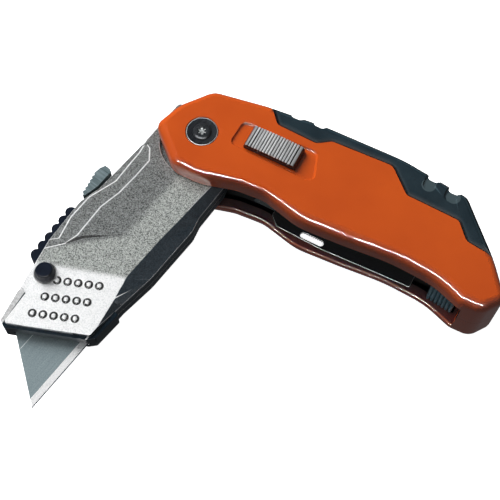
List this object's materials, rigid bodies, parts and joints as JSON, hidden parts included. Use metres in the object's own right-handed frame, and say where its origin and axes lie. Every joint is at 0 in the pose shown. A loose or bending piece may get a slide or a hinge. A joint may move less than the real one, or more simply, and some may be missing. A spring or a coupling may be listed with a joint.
{
  "type": "folding utility knife",
  "caption": "Folding utility knife, half open, with a sliding trapezoid blade, a rubber-backed handle, a slide lock, a blade release button and spare blade storage.",
  "frame": {"origin": "on the pivot's axis, on the back shell's face that the knife lies on", "axes": "+X from the pivot along the handle to its far end, +Y towards the handle's rubber spine, +Z out of the front face, along the pivot"},
  "size_m": [0.1312, 0.1171, 0.0261],
  "materials": {
    "orange_paint": "glossy orange paint on cast metal",
    "slate_rubber": "soft moulded rubber",
    "cast_silver": "coarse metallic silver coat on cast metal",
    "blade_steel": "ground steel with a bright bevel",
    "plate_steel": "zinc-plated sheet steel",
    "slide_steel": "bright plated ribs",
    "dark_steel": "blackened steel",
    "black_plastic": "satin moulded plastic",
    "latch_plastic": "satin moulded plastic",
    "brass": "plain brass"
  },
  "bodies": {
    "handle": {"front_shell": "orange_paint", "back_shell": "orange_paint", "front_grip": "slate_rubber", "back_grip": "slate_rubber", "front_liner": "plate_steel", "pivot_barrel": "dark_steel", "pivot_screw": "dark_steel", "pivot_washer": "dark_steel", "pivot_spacers": "brass", "handle_screws": "dark_steel", "spare_blade_tray": "plate_steel", "spare_blades": "blade_steel", "lock_spring": "dark_steel", "latch_spring": "dark_steel"},
    "carrier": {"carrier_front_shell": "cast_silver", "carrier_back_shell": "cast_silver", "nose_insert": "dark_steel", "spine_grip": "black_plastic", "tang_bushing": "brass", "carrier_screws": "dark_steel", "detent_strip": "plate_steel", "button_spring": "dark_steel"},
    "blade_slider": {"blade": "blade_steel", "blade_carriage": "dark_steel", "thumb_slider": "cast_silver"},
    "release_button": {"release_button": "black_plastic"},
    "lock": {"lock_slide": "slide_steel", "lock_bar": "plate_steel", "lock_pin": "dark_steel"},
    "storage_latch": {"storage_latch": "latch_plastic"}
  },
  "joints": [
    {"name": "fold", "type": "hinge", "parent": "handle", "child": "carrier", "pos_m": [0, 0, 0.012], "axis": [0, 0, 1], "range_deg": [-80, 82]},
    {"name": "blade_slide", "type": "slide", "parent": "carrier", "child": "blade_slider", "axis": [-0.1736, -0.9848, 0], "range_m": [-0.026, 0]},
    {"name": "release_press", "type": "slide", "parent": "carrier", "child": "release_button", "axis": [0, 0, 1], "range_m": [-0.0014, 0], "stiffness_N_per_m": 400, "springref_m": 0.002, "deforming": ["button_spring"]},
    {"name": "lock_pull", "type": "slide", "parent": "handle", "child": "lock", "axis": [1, 0, 0], "range_m": [0, 0.0028], "stiffness_N_per_m": 300, "springref_m": -0.003, "deforming": ["lock_spring"]},
    {"name": "latch_push", "type": "slide", "parent": "handle", "child": "storage_latch", "axis": [1, 0, 0], "range_m": [0, 0.0012], "stiffness_N_per_m": 400, "springref_m": -0.002, "deforming": ["latch_spring"]}
  ]
}
